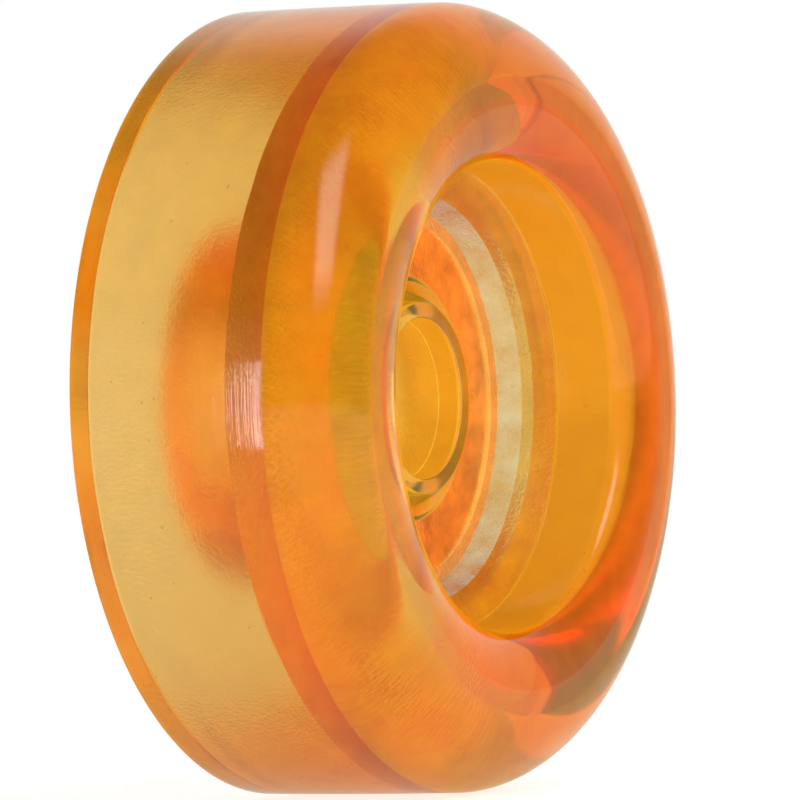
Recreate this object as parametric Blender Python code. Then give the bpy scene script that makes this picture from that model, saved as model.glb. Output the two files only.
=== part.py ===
"""Plain-bore caster wheel, moulded in clear amber urethane, as five separate turned pieces.

Metres, +Z up. The origin is the middle of the wheel and the wheel spins about +Y. The rounded front of the
wheel, with its big shoulder and stepped pocket, faces -Y. The nearly sharp rear edge, the ring-shaped cavity
and the solid hub inside it face +Y.

Every piece is a ring. Its outline is a closed loop of (radius, y) points, spun once about the Y axis.
"""

import math

import bmesh
import bpy

# Overall size.
TREAD_RADIUS = 0.03175
WIDTH = 0.0238
SEGMENTS = 72
GAP = 0.0003

# Outside of the tyre.
SHOULDER_AXIAL = 0.0064
SHOULDER_RADIAL = 0.0062
SHOULDER_EASE = 1.76
CROWN_RADIUS = 0.800
CROWN_PEAK_Y = 0.0043
REAR_EDGE_AXIAL = 0.0004
REAR_EDGE_RADIAL = 0.0012
LIP_AXIAL = 0.0023
LIP_RADIAL = 0.0050

# The stepped pocket in the front, as depths below the front face.
MOUTH_RADIUS = 0.0189
STEP_RADIUS = 0.0185
STEP_DEPTH = 0.0066
SEAT_TOP_RADIUS = 0.0163
SEAT_TOP_DEPTH = 0.0090
FLOOR_RADIUS = 0.0156
FLOOR_DEPTH = 0.0109

# The ring-shaped cavity in the rear, as depths below the rear face, and the bond between tyre and core.
CAVITY_MOUTH_RADIUS = 0.0260
CAVITY_WALL_RADIUS = 0.0254
CAVITY_WALL_DEPTH = 0.0120
CAVITY_DEPTH = 0.0150
BOND_RADIUS = 0.0197
SEAT_SHELL = 0.0014
FLOOR_SHELL = 0.0018
HUB_BASE_RADIUS = 0.0149
HUB_END_RADIUS = 0.0143
HUB_END_ROUND = 0.0004

# The two bushes on the axle, and the tube nested between them.
BUSH_BASE_RADIUS = 0.0099
BUSH_RIM_RADIUS = 0.0078
BUSH_TOP_DEPTH = 0.0093
FLANGE_RADIUS = 0.0112
FLANGE_THICKNESS = 0.0015
SHANK_RADIUS = 0.0092
SHANK_MEET = 0.0040
BORE_RADIUS = 0.00645
FRONT_LAND_DEPTH = 0.0112
REAR_LAND_DEPTH = 0.0024
RELIEF_RADIUS = 0.0079
TUBE_INNER_RADIUS = 0.0068
EDGE_ROUND = 0.0003

FRONT = -WIDTH / 2
REAR = WIDTH / 2
AMBER = (0.86, 0.30, 0.03, 1.0)
YELLOW = (1.0, 0.42, 0.04, 1.0)


def clear_scene():
    for obj in list(bpy.data.objects):
        bpy.data.objects.remove(obj)


def arc(centre, axial, radial, start, end, steps):
    """Points of an elliptical arc; angle 0 points outward from the axis and 90 degrees towards +Y."""
    points = []
    for i in range(steps + 1):
        angle = math.radians(start + (end - start) * i / steps)
        radius = centre[0] + radial * math.cos(angle)
        y = centre[1] + axial * math.sin(angle)
        points.append((radius, y))
    return points


def tread_radius(y):
    """The tread is a very slight barrel, widest at the crown's peak."""
    return TREAD_RADIUS - (y - CROWN_PEAK_Y) ** 2 / (2 * CROWN_RADIUS)


def shoulder(steps):
    """The big rounded corner at the front, a superellipse that runs from the face into the tread."""
    end = FRONT + SHOULDER_AXIAL
    edge = tread_radius(end)
    points = []
    for i in range(steps + 1):
        angle = math.pi / 2 * i / steps
        inward = 1 - math.sin(angle) ** (2 / SHOULDER_EASE)
        forward = math.cos(angle) ** (2 / SHOULDER_EASE)
        points.append((edge - SHOULDER_RADIAL * inward, end - SHOULDER_AXIAL * forward))
    return points


def crown(steps):
    """The tread, from the end of the front shoulder to the start of the rear edge."""
    start = FRONT + SHOULDER_AXIAL
    length = WIDTH - SHOULDER_AXIAL - REAR_EDGE_AXIAL
    points = []
    for i in range(1, steps + 1):
        y = start + length * i / steps
        points.append((tread_radius(y), y))
    return points


def tyre_outline():
    """Pocket wall, lip, front face, shoulder, tread and rear edge, then the cavity's wall and the bond."""
    lip_centre = (MOUTH_RADIUS + LIP_RADIAL, FRONT + LIP_AXIAL)
    lip = arc(lip_centre, LIP_AXIAL, LIP_RADIAL, 180, 270, 8)
    corner = shoulder(12)
    tread = crown(6)
    edge_centre = (tread[-1][0] - REAR_EDGE_RADIAL, REAR - REAR_EDGE_AXIAL)
    edge = arc(edge_centre, REAR_EDGE_AXIAL, REAR_EDGE_RADIAL, 0, 90, 4)[1:]
    cavity = [
        (CAVITY_MOUTH_RADIUS, REAR),
        (CAVITY_WALL_RADIUS, REAR - CAVITY_WALL_DEPTH),
        (BOND_RADIUS, REAR - CAVITY_DEPTH),
    ]
    bond = [
        (BOND_RADIUS, FRONT + STEP_DEPTH),
        (STEP_RADIUS, FRONT + STEP_DEPTH),
    ]
    return lip + corner + tread + edge + cavity + bond


def hub_outline():
    """Hub bore, front floor, seat wall and sloping step, then the rim in the tyre and the solid hub."""
    bore = SHANK_RADIUS + GAP
    front = [
        (bore, FRONT + FLOOR_DEPTH),
        (FLOOR_RADIUS, FRONT + FLOOR_DEPTH),
        (SEAT_TOP_RADIUS, FRONT + SEAT_TOP_DEPTH),
        (STEP_RADIUS, FRONT + STEP_DEPTH + GAP),
    ]
    rim = [
        (BOND_RADIUS - GAP, FRONT + STEP_DEPTH + GAP),
        (BOND_RADIUS - GAP, REAR - CAVITY_DEPTH),
    ]
    shell = [
        (SEAT_TOP_RADIUS + SEAT_SHELL, REAR - CAVITY_DEPTH),
        (SEAT_TOP_RADIUS + SEAT_SHELL, FRONT + FLOOR_DEPTH + FLOOR_SHELL),
    ]
    hub_end_centre = (HUB_END_RADIUS - HUB_END_ROUND, REAR - HUB_END_ROUND)
    hub = [(HUB_BASE_RADIUS, FRONT + FLOOR_DEPTH + FLOOR_SHELL)]
    hub += arc(hub_end_centre, HUB_END_ROUND, HUB_END_ROUND, 0, 90, 3)
    seat = [
        (FLANGE_RADIUS + GAP, REAR),
        (FLANGE_RADIUS + GAP, REAR - FLANGE_THICKNESS - GAP),
        (bore, REAR - FLANGE_THICKNESS - GAP),
    ]
    return front + rim + shell + hub + seat


def front_bush_outline():
    """Conical head standing in the pocket, and a shank that holds the tube in its counterbore."""
    underside = FRONT + FLOOR_DEPTH - GAP
    top = FRONT + BUSH_TOP_DEPTH
    rim = arc((BORE_RADIUS + EDGE_ROUND, top + EDGE_ROUND), EDGE_ROUND, EDGE_ROUND, 180, 270, 3)
    head = [(BUSH_RIM_RADIUS, top), (BUSH_BASE_RADIUS, underside)]
    shank_end = SHANK_MEET - GAP / 2
    shank = [(SHANK_RADIUS, underside), (SHANK_RADIUS, shank_end), (RELIEF_RADIUS, shank_end)]
    land_end = FRONT + FRONT_LAND_DEPTH
    land = [(RELIEF_RADIUS, land_end), (BORE_RADIUS, land_end)]
    return rim + head + shank + land


def rear_bush_outline():
    """Flat flange let into the hub's end, and a shank that meets the front bush around the tube."""
    rim = arc((BORE_RADIUS + EDGE_ROUND, REAR - EDGE_ROUND), EDGE_ROUND, EDGE_ROUND, 180, 90, 3)
    flange = [(FLANGE_RADIUS, REAR), (FLANGE_RADIUS, REAR - FLANGE_THICKNESS)]
    shank_end = SHANK_MEET + GAP / 2
    shank = [
        (SHANK_RADIUS, REAR - FLANGE_THICKNESS),
        (SHANK_RADIUS, shank_end),
        (RELIEF_RADIUS, shank_end),
    ]
    land_end = REAR - REAR_LAND_DEPTH
    land = [(RELIEF_RADIUS, land_end), (BORE_RADIUS, land_end)]
    return rim + flange + shank + land


def tube_outline():
    front_end = FRONT + FRONT_LAND_DEPTH + GAP
    rear_end = REAR - REAR_LAND_DEPTH - GAP
    outer = RELIEF_RADIUS - GAP
    return [
        (TUBE_INNER_RADIUS, front_end),
        (outer, front_end),
        (outer, rear_end),
        (TUBE_INNER_RADIUS, rear_end),
    ]


def urethane(name, colour, roughness):
    material = bpy.data.materials.new(name)
    material.use_nodes = True
    shader = material.node_tree.nodes["Principled BSDF"]
    shader.inputs["Base Color"].default_value = colour
    shader.inputs["Roughness"].default_value = roughness
    shader.inputs["Metallic"].default_value = 0.0
    shader.inputs["IOR"].default_value = 1.5
    return material


def turned(name, outline, material):
    """One ring: the outline as a closed loop in the plane x = radius, spun about the Y axis."""
    mesh = bpy.data.meshes.new(name)
    bm = bmesh.new()
    corners = [bm.verts.new((radius, y, 0.0)) for radius, y in outline]
    for i, corner in enumerate(corners):
        bm.edges.new((corners[i - 1], corner))
    bmesh.ops.spin(
        bm,
        geom=bm.verts[:] + bm.edges[:],
        cent=(0, 0, 0),
        axis=(0, 1, 0),
        angle=math.tau,
        steps=SEGMENTS,
        use_merge=True,
    )
    bmesh.ops.recalc_face_normals(bm, faces=bm.faces[:])
    bm.to_mesh(mesh)
    bm.free()
    mesh.shade_smooth()
    mesh.set_sharp_from_angle(angle=math.radians(30))
    mesh.materials.append(material)
    obj = bpy.data.objects.new(name, mesh)
    bpy.context.scene.collection.objects.link(obj)
    return obj


def build():
    clear_scene()
    tread = urethane("clear_amber_urethane", AMBER, 0.12)
    core = urethane("textured_amber_core", AMBER, 0.35)
    bush = urethane("smooth_amber_bush", AMBER, 0.15)
    tube = urethane("bright_yellow_tube", YELLOW, 0.2)
    turned("tyre", tyre_outline(), tread)
    turned("hub_core", hub_outline(), core)
    turned("front_bush", front_bush_outline(), bush)
    turned("rear_bush", rear_bush_outline(), bush)
    turned("spacer_tube", tube_outline(), tube)


build()
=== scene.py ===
"""Looks of the plain-bore caster wheel: five nested rings of clear amber urethane.

Every visible ring is built here finer than its CAD node, around the same axis and inside the same box, and
stands for that node. Where two pieces touch they are bonded, so light passes from one to the next unbent.
"""

import math

import bpy
from mathutils import Matrix, Vector

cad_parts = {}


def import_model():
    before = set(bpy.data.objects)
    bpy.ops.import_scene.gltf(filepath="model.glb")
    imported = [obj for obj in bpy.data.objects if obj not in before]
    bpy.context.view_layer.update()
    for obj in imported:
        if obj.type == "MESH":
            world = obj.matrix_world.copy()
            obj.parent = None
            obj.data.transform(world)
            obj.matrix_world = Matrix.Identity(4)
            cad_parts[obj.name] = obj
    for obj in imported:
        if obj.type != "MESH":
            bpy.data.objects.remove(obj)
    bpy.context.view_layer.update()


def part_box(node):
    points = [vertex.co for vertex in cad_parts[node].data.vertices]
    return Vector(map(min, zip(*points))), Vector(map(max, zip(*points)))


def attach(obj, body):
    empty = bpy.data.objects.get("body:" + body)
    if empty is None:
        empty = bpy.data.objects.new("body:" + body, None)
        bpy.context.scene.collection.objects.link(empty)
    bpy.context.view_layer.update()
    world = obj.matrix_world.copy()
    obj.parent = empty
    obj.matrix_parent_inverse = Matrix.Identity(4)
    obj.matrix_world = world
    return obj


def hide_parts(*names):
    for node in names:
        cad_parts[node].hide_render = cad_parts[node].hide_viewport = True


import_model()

# Sizes that the frame gives.
tyre_low, tyre_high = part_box("tyre")
core_low, core_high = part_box("hub_core")
cone_low, cone_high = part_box("front_bush")
flange_low, flange_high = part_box("rear_bush")
tube_low, tube_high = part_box("spacer_tube")

RADIUS = tyre_high[0]
FRONT = tyre_low[1]
REAR = tyre_high[1]
BOND_RADIUS = core_high[0]
STEP_Y = core_low[1]
CONE_TOP = cone_low[1]
CONE_BASE = cone_high[0]
FLANGE = flange_high[0]
TUBE_FRONT = tube_low[1]
TUBE_REAR = tube_high[1]
TUBE_OUTER = tube_high[0]

# Sizes of the outlines, in metres, where a box doesn't give them. Names that end in Y are places along
# the axle.
SHOULDER_AXIAL = 0.0064
SHOULDER_RADIAL = 0.0062
SHOULDER_EASE = 1.76
CROWN_RADIUS = 0.800
CROWN_PEAK_Y = 0.0043
REAR_EDGE_AXIAL = 0.0004
REAR_EDGE_RADIAL = 0.0012
LIP_AXIAL = 0.0023
LIP_RADIAL = 0.0050
MOUTH = 0.0189
STEP = 0.0185
SEAT_TOP = 0.0163
SEAT_TOP_Y = FRONT + 0.0090
FLOOR = 0.0156
FLOOR_Y = FRONT + 0.0109
FLOOR_MARGIN = 0.0004
CAVITY_MOUTH = 0.0260
CAVITY_WALL = 0.0254
CAVITY_WALL_Y = REAR - 0.0120
CAVITY_END_Y = REAR - 0.0150
SEAT_SHELL = 0.0014
FLOOR_SHELL = 0.0018
HUB_BASE = 0.0149
HUB_END = 0.0143
HUB_ROUND = 0.0006
CONE_RIM = 0.0078
BORE = 0.00645
TUBE_INNER = 0.0068
SHANK = 0.00935
FLANGE_SEAT_Y = REAR - 0.00165
SHANK_MEET_Y = 0.0040

# How finely the rings are cut, the gap between bonded faces, and the tiny bevel at visible seams.
SEGMENTS = 320
BOND_GAP = 0.00001
SEAM = 0.00015
SHARP_ANGLE = math.radians(28)

# How much light a metre of urethane takes in red, green and blue, and the tube's share of that.
ABSORB = (3.0, 78.0, 270.0)
TUBE_SHARE = 0.7
IOR = 1.5

# Painted light: the glow that each kind of surface gives off whatever the lamps, in place of light the
# urethane scatters; and the tint that its texture gives to light passing through.
PAINTED_GLOWS = {
    "tread": (0.040, 0.036, 0.000),
    "shoulder": (0.130, 0.115, 0.000),
    "face": (0.085, 0.085, 0.000),
    "lip": (0.160, 0.072, 0.000),
    "wall": (0.060, 0.050, 0.000),
    "cone": (0.050, 0.040, 0.000),
    # The seat's green and blue glow paints its band pale; the floor_edge's weaker glow leaves the pocket
    # floor darker next to the seat.
    "seat": (0.030, 0.120, 0.120),
    "floor": (0.340, 0.085, 0.008),
    "floor_edge": (0.200, 0.050, 0.008),
    "cavity": (0.050, 0.035, 0.000),
    "smooth": (0.090, 0.085, 0.002),
    "bond": (0.0, 0.0, 0.0),
}
WHITE = (1.0, 1.0, 1.0)
TINTS = {
    "cone": (0.98, 0.80, 0.14),
    "seat": (0.84, 0.92, 0.95),
    "floor_edge": (0.90, 0.45, 0.25),
}

# Kinds of surface behind each mask: bonded to a neighbour, spark-eroded, mildly so, and finely turned.
MASKS = {
    "bonded": ("bond",),
    "sparked": ("cone", "seat", "floor", "floor_edge", "cavity"),
    "mild": ("cavity",),
    "streaked": ("tread",),
}

# Surface grain: cells per metre along x, y and z, and how high it stands in metres.
FINE_GRAIN = (900, 900, 900)
FINE_HEIGHT = 0.000001
SPARK_GRAIN = (3200, 3200, 3200)
SPARK_HEIGHT = 0.00009
MILD_LOSS = 0.75
STREAK_GRAIN = (120, 5200, 120)
STREAK_HEIGHT = 0.000004
MOTTLE_GRAIN = (160, 160, 160)
GLOW_PATCH_GRAIN = (420, 420, 420)

# Roughness of smooth, spark-eroded and bush surfaces, and how far the mottle varies it.
SMOOTH_ROUGHNESS = 0.08
SPARKED_ROUGHNESS = 0.26
BUSH_ROUGHNESS = 0.20
ROUGHNESS_LOW = 0.7
ROUGHNESS_SWING = 0.6

# How patchy the painted glow is on smooth surfaces, how much more on sparked ones, and its darkest.
GLOW_PATCH_SWING = 1.0
SPARK_GLOW_PATCH_SWING = 2.5
GLOW_PATCH_FLOOR = 0.15

# Mottle of the dye near the surface, and the scattered specks.
MOTTLE_TINT = (1.0, 0.93, 0.80, 1.0)
SPECK_COLOUR = (0.75, 0.42, 0.12, 1.0)
SPECK_CELLS = 420.0
SPECK_SIZE = 0.045

# The camera: its direction, distance and roll, the wheel's radius as a share of the picture's width, and
# the sensor shift.
CAMERA_AZIMUTH = math.radians(-61.36)
CAMERA_DISTANCE = 22 * RADIUS
CAMERA_ROLL = math.radians(1.59)
SENSOR = 36.0
RADIUS_IN_PICTURE = 0.4931
SHIFT = (0.00575, -0.0012)
TO_CAMERA = Vector((math.sin(CAMERA_AZIMUTH), -math.cos(CAMERA_AZIMUTH), 0))

# The room's light, and the bright backdrop behind the wheel: where it fades in, and how high it reaches.
ROOM = 0.14
BACKDROP = 0.77
BACKDROP_EDGE = (0.3, 0.85)
BACKDROP_TOP = (0.55, 0.90)
# Softboxes: their direction, half their width and height, and how bright they are beside white.
SOFTBOXES = (
    ((-0.80, 0.60, 0.0), (0.30, 0.33), 0.4),
    ((-0.38, -0.60, 0.70), (0.16, 0.32), 3.4),
)
SOFTBOX_EDGE = (0.6, 1.4)
# A narrow lamp that shows on the tread: the place opposite it, its direction, distance, size, brightness.
LAMP_OPPOSITE = (-RADIUS, -0.13 * RADIUS, -0.05 * RADIUS)
LAMP_TOWARDS = (-0.888, 0.460, 0.0)
LAMP_DISTANCE = 4 * RADIUS
LAMP_SIZE = (0.13 * RADIUS, 1.75 * RADIUS)
LAMP_BRIGHTNESS = 11.0

# The ground: how far it runs, its gap below the wheel, its colour, and its light to the wheel and then
# to the camera.
GROUND_HALF = 60 * RADIUS
GROUND_GAP = 0.0002
GROUND_COLOUR = (0.9, 0.9, 0.9, 1.0)
GROUND_ROUGHNESS = 0.9
GROUND_LIGHT = (0.32, 0.75)


def arc(centre, radial, axial, start, end, steps):
    """Points of an elliptical arc; angle 0 points outward from the axis and 90 degrees towards the rear."""
    points = []
    for i in range(steps + 1):
        angle = math.radians(start + (end - start) * i / steps)
        points.append((centre[0] + radial * math.cos(angle), centre[1] + axial * math.sin(angle)))
    return points


def line(start, end, steps):
    """Evenly spaced points after start, up to and with end."""
    points = []
    for i in range(1, steps + 1):
        t = i / steps
        points.append((start[0] + (end[0] - start[0]) * t, start[1] + (end[1] - start[1]) * t))
    return points


def tread_radius(y):
    """The tread is a very slight barrel, widest at the crown's peak."""
    return RADIUS - (y - CROWN_PEAK_Y) ** 2 / (2 * CROWN_RADIUS)


def shoulder(steps):
    """The big rounded corner at the front, a superellipse that runs from the face into the tread."""
    end = FRONT + SHOULDER_AXIAL
    edge = tread_radius(end)
    points = []
    for i in range(steps + 1):
        angle = math.pi / 2 * i / steps
        inward = 1 - math.sin(angle) ** (2 / SHOULDER_EASE)
        forward = math.cos(angle) ** (2 / SHOULDER_EASE)
        points.append((edge - SHOULDER_RADIAL * inward, end - SHOULDER_AXIAL * forward))
    return points


def crown(steps):
    """The tread, from the shoulder to the rear edge."""
    start = FRONT + SHOULDER_AXIAL
    return [(tread_radius(y), y) for _, y in line((0, start), (0, REAR - REAR_EDGE_AXIAL), steps)]


class Outline:
    """A closed loop of (radius, y) points; each stretch of it has a kind of surface."""

    def __init__(self):
        self.points = []
        self.kinds = []

    def go(self, points, kind):
        """Adds points. The stretches that end at them are of this kind."""
        for point in points:
            self.points.append(point)
            self.kinds.append(kind)

    def to(self, radius, y, kind, steps=1):
        """Adds a straight stretch."""
        self.go(line(self.points[-1], (radius, y), steps), kind)

    def close(self, kind, steps=1):
        """Runs straight back to the first point."""
        self.to(*self.points[0], kind, steps)
        self.points.pop()
        self.kinds.pop()
        self.kinds[0] = kind


def tyre_outline():
    """Lip, face, shoulder, tread and rear edge, the cavity's wall, the bond, and the pocket's wall."""
    ledge = STEP_Y - BOND_GAP
    loop = Outline()
    lip_centre = (MOUTH + LIP_RADIAL, FRONT + LIP_AXIAL)
    loop.go(arc(lip_centre, LIP_RADIAL, LIP_AXIAL, 180, 270, 20), "lip")
    corner = shoulder(44)
    loop.to(*corner[0], "face", 6)
    loop.go(corner[1:], "shoulder")
    tread = crown(30)
    loop.go(tread, "tread")
    edge_centre = (tread[-1][0] - REAR_EDGE_RADIAL, REAR - REAR_EDGE_AXIAL)
    loop.go(arc(edge_centre, REAR_EDGE_RADIAL, REAR_EDGE_AXIAL, 0, 90, 8)[1:], "face")
    loop.to(CAVITY_MOUTH + SEAM, REAR, "face", 6)
    loop.to(CAVITY_MOUTH, REAR - SEAM, "face")
    loop.to(CAVITY_WALL, CAVITY_WALL_Y, "cavity", 24)
    loop.to(BOND_RADIUS + BOND_GAP, CAVITY_END_Y, "cavity", 12)
    loop.to(BOND_RADIUS + BOND_GAP, ledge, "bond")
    loop.to(STEP + SEAM, ledge, "bond")
    loop.to(STEP, ledge - SEAM, "face")
    loop.close("wall", 8)
    return loop


def core_outline():
    """Pocket floor, seat and sloping step, then the rim in the tyre, the thin shells, and the solid hub."""
    bore = SHANK + BOND_GAP
    loop = Outline()
    loop.go([(bore, FLOOR_Y)], "bond")
    loop.to(CONE_BASE - SEAM, FLOOR_Y, "bond")
    loop.to(CONE_BASE, FLOOR_Y, "floor")
    loop.to(HUB_BASE - FLOOR_MARGIN, FLOOR_Y, "floor", 12)
    loop.to(FLOOR, FLOOR_Y, "floor_edge", 4)
    loop.to(SEAT_TOP, SEAT_TOP_Y, "seat", 8)
    loop.to(STEP, STEP_Y + SEAM, "cone", 10)
    loop.to(STEP + SEAM, STEP_Y, "face")
    loop.to(BOND_RADIUS, STEP_Y, "bond")
    loop.to(BOND_RADIUS, CAVITY_END_Y, "bond")
    loop.to(SEAT_TOP + SEAT_SHELL, CAVITY_END_Y, "cavity", 4)
    loop.to(SEAT_TOP + SEAT_SHELL, FLOOR_Y + FLOOR_SHELL, "cavity", 6)
    loop.to(HUB_BASE, FLOOR_Y + FLOOR_SHELL, "cavity", 6)
    loop.to(HUB_END, REAR - HUB_ROUND, "cavity", 20)
    end_centre = (HUB_END - HUB_ROUND, REAR - HUB_ROUND)
    loop.go(arc(end_centre, HUB_ROUND, HUB_ROUND, 0, 90, 5)[1:], "face")
    loop.to(FLANGE + SEAM, REAR, "face", 5)
    loop.to(FLANGE + BOND_GAP, REAR - SEAM, "face")
    loop.to(FLANGE + BOND_GAP, FLANGE_SEAT_Y - BOND_GAP, "bond")
    loop.to(bore, FLANGE_SEAT_Y - BOND_GAP, "bond")
    loop.close("bond")
    return loop


def front_bush_outline():
    """Conical head in the pocket, and the shank whose counterbore holds the tube."""
    land_end = TUBE_FRONT - BOND_GAP
    meet = SHANK_MEET_Y - BOND_GAP
    loop = Outline()
    loop.go(arc((BORE + SEAM, CONE_TOP + SEAM), SEAM, SEAM, 180, 270, 4), "smooth")
    loop.to(CONE_RIM - SEAM, CONE_TOP, "smooth", 2)
    loop.to(CONE_RIM, CONE_TOP + SEAM, "smooth")
    loop.to(CONE_BASE, FLOOR_Y - SEAM, "smooth", 10)
    loop.to(CONE_BASE - SEAM, FLOOR_Y - BOND_GAP, "smooth")
    loop.to(SHANK, FLOOR_Y - BOND_GAP, "bond")
    loop.to(SHANK, meet, "bond")
    loop.to(TUBE_OUTER + BOND_GAP, meet, "bond")
    loop.to(TUBE_OUTER + BOND_GAP, land_end, "bond")
    loop.to(TUBE_INNER, land_end, "bond")
    loop.to(BORE, land_end, "smooth")
    return loop


def rear_bush_outline():
    """Flat flange in the hub's end, and the shank whose counterbore holds the tube."""
    land_end = TUBE_REAR + BOND_GAP
    meet = SHANK_MEET_Y + BOND_GAP
    loop = Outline()
    loop.go(arc((BORE + SEAM, REAR - SEAM), SEAM, SEAM, 180, 90, 4), "smooth")
    loop.to(FLANGE - SEAM, REAR, "smooth", 5)
    loop.to(FLANGE, REAR - SEAM, "smooth")
    loop.to(FLANGE, FLANGE_SEAT_Y, "bond")
    loop.to(SHANK, FLANGE_SEAT_Y, "bond")
    loop.to(SHANK, meet, "bond")
    loop.to(TUBE_OUTER + BOND_GAP, meet, "bond")
    loop.to(TUBE_OUTER + BOND_GAP, land_end, "bond")
    loop.to(TUBE_INNER, land_end, "bond")
    loop.to(BORE, land_end, "smooth")
    return loop


def tube_outline():
    loop = Outline()
    loop.go([(TUBE_INNER, TUBE_FRONT)], "smooth")
    loop.to(TUBE_OUTER, TUBE_FRONT, "bond")
    loop.to(TUBE_OUTER, TUBE_REAR, "bond")
    loop.to(TUBE_INNER, TUBE_REAR, "bond")
    loop.close("smooth", 12)
    return loop


def signed_volume(mesh):
    """Positive when the faces of a closed mesh point outward."""
    total = 0.0
    for polygon in mesh.polygons:
        total += polygon.center.dot(polygon.normal) * polygon.area
    return total


def mark_faces(mesh, kinds):
    """Gives every face its masks, its painted glow and its tint."""
    for mask, wanted in MASKS.items():
        layer = mesh.attributes.new(mask, "FLOAT", "FACE")
        layer.data.foreach_set("value", [float(kind in wanted) for kind in kinds])
    for label, colours in (("glow", PAINTED_GLOWS), ("tint", TINTS)):
        layer = mesh.attributes.new(label, "FLOAT_VECTOR", "FACE")
        values = []
        for kind in kinds:
            values.extend(colours.get(kind, WHITE))
        layer.data.foreach_set("vector", values)


def ring(name, loop, material):
    """One closed ring: the outline spun once about the Y axis."""
    count = len(loop.points)
    verts = []
    for j in range(SEGMENTS):
        angle = math.tau * j / SEGMENTS
        for radius, y in loop.points:
            verts.append((radius * math.cos(angle), y, radius * math.sin(angle)))
    faces = []
    kinds = []
    for j in range(SEGMENTS):
        this = j * count
        after = (j + 1) % SEGMENTS * count
        for i in range(count):
            k = (i + 1) % count
            faces.append((this + i, this + k, after + k, after + i))
            kinds.append(loop.kinds[k])
    mesh = bpy.data.meshes.new(name)
    mesh.from_pydata(verts, [], faces)
    mesh.update()
    if signed_volume(mesh) < 0:
        mesh.flip_normals()
    mark_faces(mesh, kinds)
    mesh.shade_smooth()
    mesh.set_sharp_from_angle(angle=SHARP_ANGLE)
    mesh.materials.append(material)
    return link(name, mesh)


def link(name, data):
    piece = bpy.data.objects.new(name, data)
    bpy.context.scene.collection.objects.link(piece)
    return piece


RAMP_SOCKETS = ("Value", "From Min", "From Max", "To Min", "To Max")


class Nodes:
    """Short calls for building a node tree."""

    def __init__(self, tree):
        self.tree = tree
        tree.nodes.clear()

    def add(self, kind, **settings):
        node = self.tree.nodes.new(kind)
        for name, value in settings.items():
            if hasattr(node, name):
                setattr(node, name, value)
            else:
                self.put(value, node.inputs[name.replace("_", " ")])
        return node

    def put(self, value, socket):
        if isinstance(value, bpy.types.NodeSocket):
            self.tree.links.new(value, socket)
        else:
            socket.default_value = value

    def math(self, operation, a, b=0.0):
        node = self.add("ShaderNodeMath", operation=operation)
        self.put(a, node.inputs[0])
        self.put(b, node.inputs[1])
        return node.outputs[0]

    def vector(self, operation, a, b, output=0):
        node = self.add("ShaderNodeVectorMath", operation=operation)
        self.put(a, node.inputs[0])
        self.put(b, node.inputs[1])
        return node.outputs[output]

    def dot(self, a, b):
        return self.vector("DOT_PRODUCT", a, b, "Value")

    def ramp(self, value, start, end, low, high):
        """Low up to start, high from end, and smooth between them."""
        node = self.add("ShaderNodeMapRange", interpolation_type="SMOOTHSTEP")
        for number, socket in zip((value, start, end, low, high), RAMP_SOCKETS):
            self.put(number, node.inputs[socket])
        return node.outputs[0]

    def blend(self, share, a, b):
        """Colour a where share is 0 and colour b where it is 1."""
        node = self.add("ShaderNodeMix", data_type="RGBA")
        self.put(share, node.inputs[0])
        self.put(a, node.inputs[6])
        self.put(b, node.inputs[7])
        return node.outputs[2]

    def attribute(self, name, output="Fac"):
        return self.add("ShaderNodeAttribute", attribute_name=name).outputs[output]

    def camera_sees(self):
        return self.add("ShaderNodeLightPath").outputs["Is Camera Ray"]

    def noise(self, place, scale, detail=2.0):
        """Noise with its own scale along each axis, in cells per metre."""
        mapping = self.add("ShaderNodeMapping")
        self.put(place, mapping.inputs["Vector"])
        self.put(scale, mapping.inputs["Scale"])
        grain = self.add("ShaderNodeTexNoise", Scale=1.0, Detail=detail, Roughness=0.6)
        self.put(mapping.outputs[0], grain.inputs["Vector"])
        return grain.outputs["Fac"]


def surface_grain(t, place, sparked):
    """The bump of the surface: a fine grain all over, turned lines on the tread, and spark erosion."""
    fine = t.math("MULTIPLY", t.noise(place, FINE_GRAIN), FINE_HEIGHT)
    lines = t.math("MULTIPLY", t.noise(place, STREAK_GRAIN, 1.0), t.attribute("streaked"))
    depth = t.math("SUBTRACT", sparked, t.math("MULTIPLY", t.attribute("mild"), MILD_LOSS))
    pits = t.math("MULTIPLY", t.noise(place, SPARK_GRAIN, 3.0), t.math("MULTIPLY", depth, SPARK_HEIGHT))
    height = t.math("ADD", fine, t.math("MULTIPLY", lines, STREAK_HEIGHT))
    height = t.math("ADD", height, pits)
    bump = t.add("ShaderNodeBump", Strength=1.0, Distance=1.0)
    t.put(height, bump.inputs["Height"])
    return bump.outputs[0]


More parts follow.
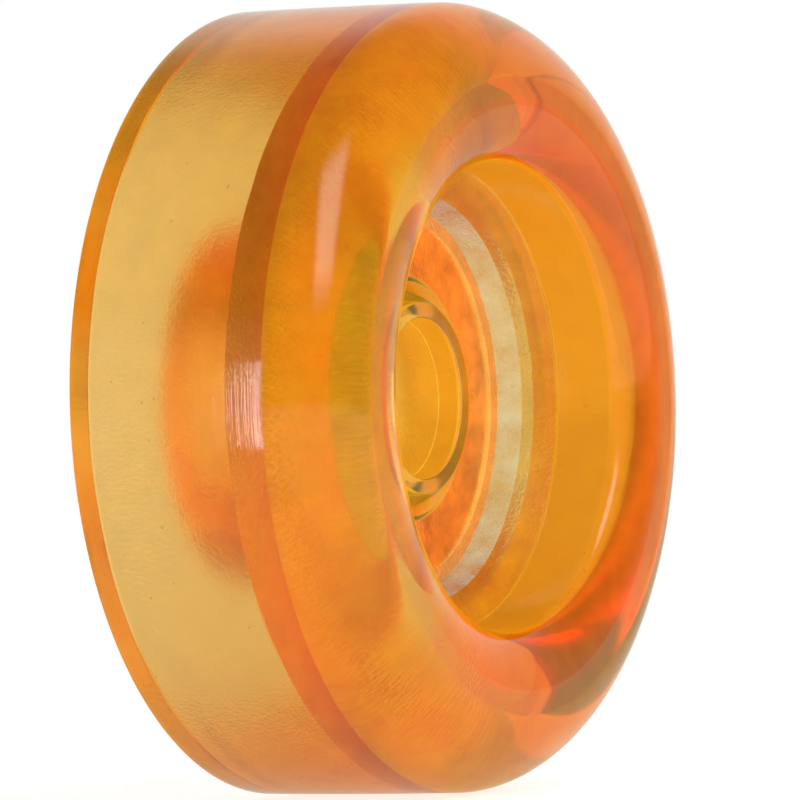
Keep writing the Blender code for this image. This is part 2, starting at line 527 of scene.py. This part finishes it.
def urethane(name, absorb, smooth):
    """Clear dyed urethane: dye inside, a faint patchy painted glow in place of the light it scatters,
    moulded grain and specks on the surface.
    """
    material = bpy.data.materials.new(name)
    material.use_nodes = True
    material.cycles.emission_sampling = "NONE"
    t = Nodes(material.node_tree)
    out = t.add("ShaderNodeOutputMaterial")
    place = t.add("ShaderNodeTexCoord").outputs["Object"]
    sparked = t.attribute("sparked")
    mottle = t.noise(place, MOTTLE_GRAIN, 3.0)

    cells = t.add("ShaderNodeTexVoronoi", Scale=SPECK_CELLS)
    t.put(place, cells.inputs["Vector"])
    speck = t.math("LESS_THAN", cells.outputs["Distance"], SPECK_SIZE)
    colour = t.blend(mottle, MOTTLE_TINT, WHITE + (1.0,))
    colour = t.blend(speck, colour, SPECK_COLOUR)
    colour = t.vector("MULTIPLY", colour, t.attribute("tint", "Vector"))

    # Painted light: noise makes the glow patchy, more so on sparked faces.
    swing = t.math("ADD", GLOW_PATCH_SWING, t.math("MULTIPLY", sparked, SPARK_GLOW_PATCH_SWING))
    glow_patch = t.math("SUBTRACT", t.noise(place, GLOW_PATCH_GRAIN, 4.0), 0.5)
    glow_patch = t.math("ADD", 1.0, t.math("MULTIPLY", glow_patch, swing))
    glow_patch = t.math("MAXIMUM", glow_patch, GLOW_PATCH_FLOOR)
    patchy = t.add("ShaderNodeCombineXYZ")
    for axis in range(3):
        t.put(glow_patch, patchy.inputs[axis])

    rough = t.math("ADD", smooth, t.math("MULTIPLY", sparked, SPARKED_ROUGHNESS - smooth))
    variation = t.math("ADD", ROUGHNESS_LOW, t.math("MULTIPLY", mottle, ROUGHNESS_SWING))

    glass = t.add("ShaderNodeBsdfPrincipled", IOR=IOR)
    t.put(colour, glass.inputs["Base Color"])
    t.put(1.0, glass.inputs["Transmission Weight"])
    t.put(t.math("MULTIPLY", rough, variation), glass.inputs["Roughness"])
    t.put(surface_grain(t, place, sparked), glass.inputs["Normal"])
    # Painted light: the glow is emission, bright whatever the lamps.
    glow = t.vector("MULTIPLY", t.attribute("glow", "Vector"), patchy.outputs[0])
    t.put(glow, glass.inputs["Emission Color"])
    t.put(1.0, glass.inputs["Emission Strength"])
    clear = t.add("ShaderNodeBsdfTransparent")
    mix = t.add("ShaderNodeMixShader")
    t.put(t.attribute("bonded"), mix.inputs[0])
    t.put(glass.outputs[0], mix.inputs[1])
    t.put(clear.outputs[0], mix.inputs[2])
    t.put(mix.outputs[0], out.inputs["Surface"])

    dye = t.add("ShaderNodeVolumeAbsorption")
    density = max(absorb)
    t.put(density, dye.inputs["Density"])
    t.put(tuple(1 - a / density for a in absorb) + (1.0,), dye.inputs["Color"])
    t.put(dye.outputs[0], out.inputs["Volume"])
    return material


def fit(piece, body, node):
    """The piece rides on the body and stands for the CAD node."""
    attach(piece, body)
    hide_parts(node)


def wheel():
    tread = urethane("tyre_urethane", ABSORB, SMOOTH_ROUGHNESS)
    core = urethane("core_urethane", ABSORB, SMOOTH_ROUGHNESS)
    bush = urethane("bush_urethane", ABSORB, BUSH_ROUGHNESS)
    lining = urethane("tube_urethane", tuple(a * TUBE_SHARE for a in ABSORB), SMOOTH_ROUGHNESS)
    fit(ring("tyre_body", tyre_outline(), tread), "wheel", "tyre")
    fit(ring("hub_core_body", core_outline(), core), "wheel", "hub_core")
    fit(ring("front_bush_body", front_bush_outline(), bush), "root", "front_bush")
    fit(ring("rear_bush_body", rear_bush_outline(), bush), "root", "rear_bush")
    fit(ring("spacer_tube_body", tube_outline(), lining), "root", "spacer_tube")


def panel(name, corners):
    """A flat sheet of the studio with an empty material: the object, its nodes and its material output."""
    mesh = bpy.data.meshes.new(name)
    mesh.from_pydata([tuple(corner) for corner in corners], [], [(0, 1, 2, 3)])
    material = bpy.data.materials.new(name)
    material.use_nodes = True
    t = Nodes(material.node_tree)
    out = t.add("ShaderNodeOutputMaterial")
    mesh.materials.append(material)
    sheet = link(name, mesh)
    return sheet, t, out


def ground():
    """Plain pale floor under the wheel, lighter to the camera than to the wheel."""
    level = tyre_low[2] - GROUND_GAP
    signs = ((-1, -1), (1, -1), (1, 1), (-1, 1))
    corners = [(GROUND_HALF * x, GROUND_HALF * y, level) for x, y in signs]
    sheet, t, out = panel("floor", corners)
    matt = t.add("ShaderNodeBsdfPrincipled", Roughness=GROUND_ROUGHNESS)
    t.put(GROUND_COLOUR, matt.inputs["Base Color"])
    t.put(WHITE + (1.0,), matt.inputs["Emission Color"])
    t.put(t.ramp(t.camera_sees(), 0.0, 1.0, *GROUND_LIGHT), matt.inputs["Emission Strength"])
    t.put(matt.outputs[0], out.inputs["Surface"])


def lamp():
    """An upright panel beside the wheel that only the wheel sees; it gives the tread its highlight."""
    towards = Vector(LAMP_TOWARDS).normalized()
    side = towards.cross(Vector((0, 0, 1))).normalized() * LAMP_SIZE[0] / 2
    up = Vector((0, 0, LAMP_SIZE[1] / 2))
    middle = Vector(LAMP_OPPOSITE) + towards * LAMP_DISTANCE
    corners = [middle - side - up, middle + side - up, middle + side + up, middle - side + up]
    sheet, t, out = panel("lamp", corners)
    glow = t.add("ShaderNodeEmission", Strength=LAMP_BRIGHTNESS)
    t.put(glow.outputs[0], out.inputs["Surface"])
    sheet.visible_camera = False
    sheet.visible_diffuse = False


def box_light(t, sight, towards, half_size, radiance):
    """A soft-edged bright rectangle in the world, centred on one direction."""
    centre = Vector(towards).normalized()
    side = centre.cross(Vector((0, 0, 1))).normalized()
    up = side.cross(centre)
    fade_start, fade_end = SOFTBOX_EDGE
    glow = radiance
    for axis, half in ((side, half_size[0]), (up, half_size[1])):
        across = t.math("ABSOLUTE", t.dot(sight, tuple(axis)))
        glow = t.math("MULTIPLY", glow, t.ramp(across, half * fade_start, half * fade_end, 1.0, 0.0))
    return t.math("MULTIPLY", glow, t.math("GREATER_THAN", t.dot(sight, tuple(centre)), 0.0))


def world():
    """White all round for the camera; for the wheel, a dim room with a bright backdrop and two softboxes."""
    scene = bpy.context.scene
    scene.view_settings.view_transform = "Standard"
    scene.world = bpy.data.worlds.new("soft_white")
    scene.world.use_nodes = True
    t = Nodes(scene.world.node_tree)
    out = t.add("ShaderNodeOutputWorld")
    sight = t.add("ShaderNodeTexCoord").outputs["Generated"]
    height = t.add("ShaderNodeSeparateXYZ")
    t.put(sight, height.inputs[0])
    light = t.ramp(t.dot(sight, tuple(-TO_CAMERA)), *BACKDROP_EDGE, 0.0, BACKDROP - ROOM)
    light = t.math("MULTIPLY", light, t.ramp(height.outputs["Z"], *BACKDROP_TOP, 1.0, 0.0))
    light = t.math("ADD", light, ROOM)
    for softbox in SOFTBOXES:
        light = t.math("ADD", light, box_light(t, sight, *softbox))
    white = t.add("ShaderNodeBackground")
    t.put(WHITE + (1.0,), white.inputs["Color"])
    t.put(t.math("MAXIMUM", t.camera_sees(), light), white.inputs["Strength"])
    t.put(white.outputs[0], out.inputs["Surface"])


def camera():
    ahead = -TO_CAMERA
    right = ahead.cross(Vector((0, 0, 1))).normalized()
    up = right.cross(ahead)
    up_rolled = up * math.cos(CAMERA_ROLL) + right * math.sin(CAMERA_ROLL)
    right_rolled = right * math.cos(CAMERA_ROLL) - up * math.sin(CAMERA_ROLL)
    data = bpy.data.cameras.new("camera")
    eye = link("camera", data)
    axes = Matrix((right_rolled, up_rolled, -ahead)).transposed().to_4x4()
    eye.matrix_world = Matrix.Translation(TO_CAMERA * CAMERA_DISTANCE) @ axes
    data.sensor_width = SENSOR
    data.lens = SENSOR * RADIUS_IN_PICTURE * CAMERA_DISTANCE / RADIUS
    data.shift_x, data.shift_y = SHIFT
    bpy.context.scene.camera = eye


wheel()
ground()
lamp()
world()
camera()
